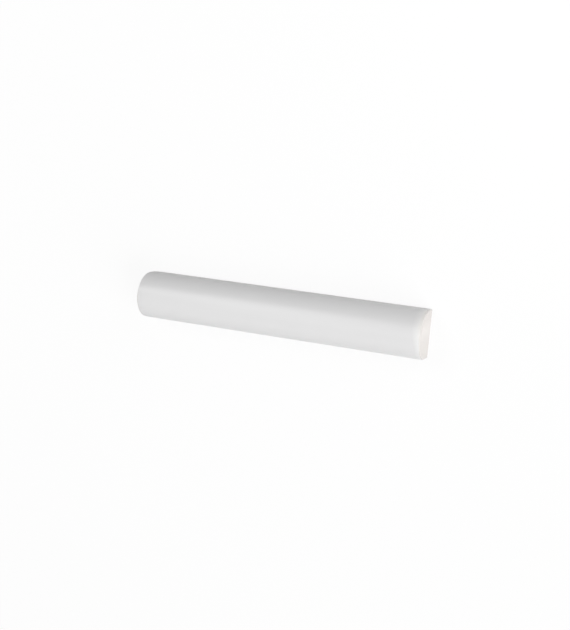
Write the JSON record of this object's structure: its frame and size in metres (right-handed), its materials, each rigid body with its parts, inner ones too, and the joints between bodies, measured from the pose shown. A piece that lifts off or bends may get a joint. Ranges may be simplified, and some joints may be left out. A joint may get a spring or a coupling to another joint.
{
  "type": "torello trim tile",
  "caption": "Half-round glazed ceramic trim moulding with straight side lands, bare square-cut ends and a flat keyed back, for edging a tiled wall.",
  "frame": {"origin": "middle of the flat back, where the tile rests", "axes": "+X along the tile's length, +Y across its width, +Z out of the back towards the crown of the glazed face"},
  "size_m": [0.2, 0.0316, 0.0232],
  "materials": {
    "glazed_ceramic": "white satin-gloss glaze on the crown and side lands, over a bare cream-white fired body on the ends and back"
  },
  "bodies": {
    "root": {"trim_tile": "glazed_ceramic"}
  },
  "joints": []
}
